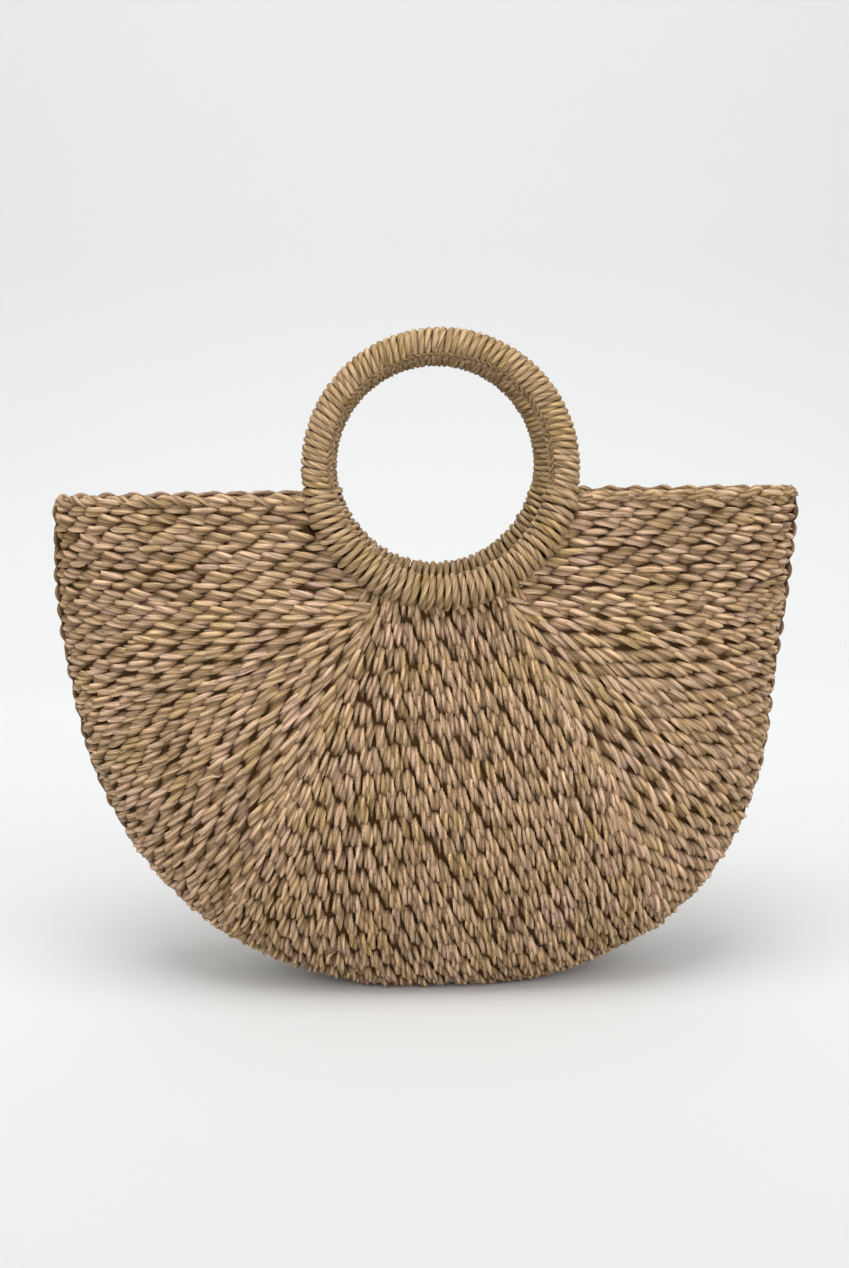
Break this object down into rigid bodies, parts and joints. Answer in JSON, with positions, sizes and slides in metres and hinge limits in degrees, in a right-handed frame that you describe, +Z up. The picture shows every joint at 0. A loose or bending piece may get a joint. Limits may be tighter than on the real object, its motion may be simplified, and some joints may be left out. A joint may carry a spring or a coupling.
{
  "type": "straw basket bag",
  "caption": "Half-moon basket bag knitted from thick twisted paper cord, open at the top, hung on round handles wound with cord",
  "frame": {"origin": "on the floor under the middle of the bag's box, at the foot of the base", "axes": "+X across the bag to the right as seen from the front, +Y from front to back, +Z up"},
  "size_m": [0.4203, 0.119, 0.3699],
  "materials": {
    "knitted_straw": "twisted paper cord, knitted in thick V stitches, matte with a faint sheen",
    "wound_straw": "twisted paper cord, wound closely round the hoop, matte",
    "binding_straw": "twisted paper cord, bound in thick loops over the hoop, matte"
  },
  "bodies": {
    "root": {"front_panel": "knitted_straw", "back_panel": "knitted_straw", "front_hoop_handle": "wound_straw", "back_hoop_handle": "wound_straw", "front_hoop_binding": "binding_straw", "back_hoop_binding": "binding_straw"}
  },
  "joints": []
}
